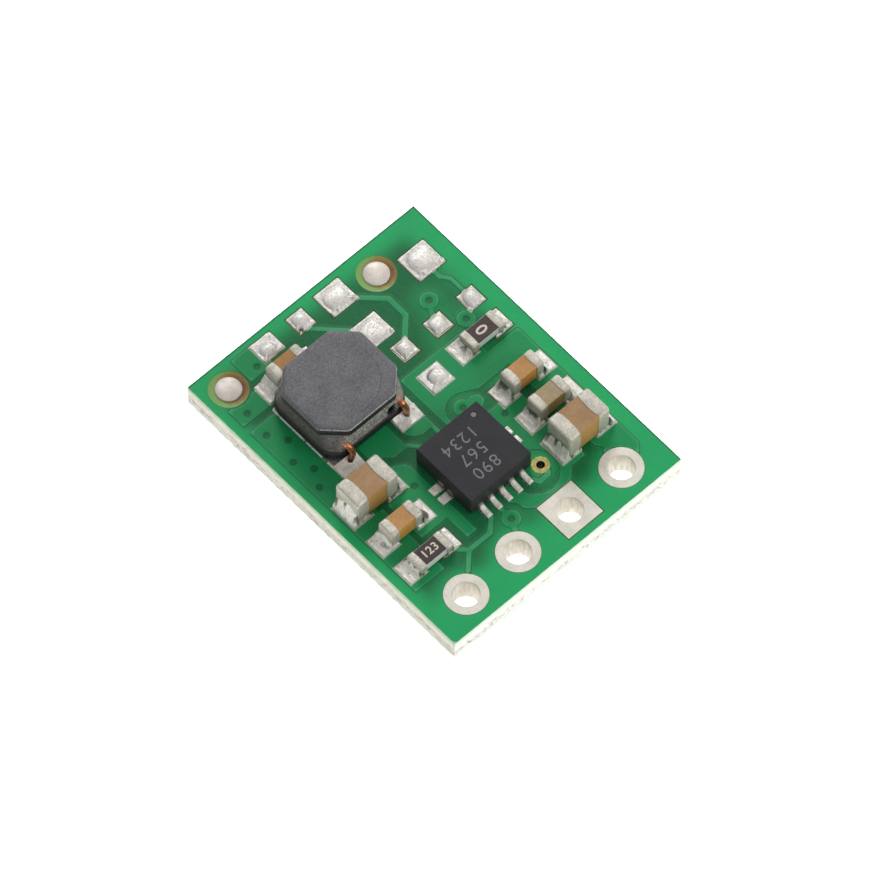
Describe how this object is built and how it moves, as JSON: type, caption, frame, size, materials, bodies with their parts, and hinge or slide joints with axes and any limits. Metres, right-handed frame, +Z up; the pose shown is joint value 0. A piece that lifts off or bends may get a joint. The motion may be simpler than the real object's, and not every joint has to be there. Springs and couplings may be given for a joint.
{
  "type": "boost converter module",
  "caption": "Small green circuit board that steps a DC voltage up, with a shielded power inductor, a converter chip, chip capacitors and a row of plated header holes.",
  "frame": {"origin": "centre of the board's underside", "axes": "+Z up from the board to its parts, +X along the header row, +Y along the board's length away from the header row"},
  "size_m": [0.011, 0.0142, 0.003],
  "materials": {
    "laminate": "matt",
    "foil": "satin",
    "mask": "semi-gloss",
    "tin": "satin",
    "solder": "glossy",
    "gilt": "satin",
    "ferrite": "matt",
    "resin": "matt",
    "copper_wire": "glossy",
    "mould": "matt",
    "capacitor_ceramic": "matt",
    "end_cap": "matt",
    "alumina": "matt",
    "glaze": "satin"
  },
  "bodies": {
    "root": {"bottom_foil": "foil", "bottom_solder_mask": "mask", "capacitor_1_body": "capacitor_ceramic", "capacitor_1_end_caps": "end_cap", "capacitor_1_solder": "solder", "capacitor_2_body": "capacitor_ceramic", "capacitor_2_end_caps": "end_cap", "capacitor_2_solder": "solder", "capacitor_3_body": "capacitor_ceramic", "capacitor_3_end_caps": "end_cap", "capacitor_3_solder": "solder", "capacitor_4_body": "capacitor_ceramic", "capacitor_4_end_caps": "end_cap", "capacitor_4_solder": "solder", "capacitor_5_body": "capacitor_ceramic", "capacitor_5_end_caps": "end_cap", "capacitor_5_solder": "solder", "capacitor_6_body": "capacitor_ceramic", "capacitor_6_end_caps": "end_cap", "capacitor_6_solder": "solder", "converter_chip_heat_pad": "tin", "converter_chip_leads": "tin", "converter_chip_mould": "mould", "converter_chip_solder": "solder", "fiducial_discs": "tin", "inductor_core": "ferrite", "inductor_resin": "resin", "inductor_solder": "solder", "inductor_terminals": "tin", "inductor_winding": "copper_wire", "inductor_wire_ends": "copper_wire", "laminate": "laminate", "open_via": "gilt", "plated_hole_1": "tin", "plated_hole_2": "tin", "plated_hole_3": "tin", "plated_hole_4": "tin", "resistor_1_body": "alumina", "resistor_1_end_caps": "end_cap", "resistor_1_glaze": "glaze", "resistor_1_solder": "solder", "resistor_2_body": "alumina", "resistor_2_end_caps": "end_cap", "resistor_2_glaze": "glaze", "resistor_2_solder": "solder", "tented_via_barrels": "foil", "top_foil": "foil", "top_solder_mask": "mask", "unused_pad_solder": "solder"}
  },
  "joints": []
}
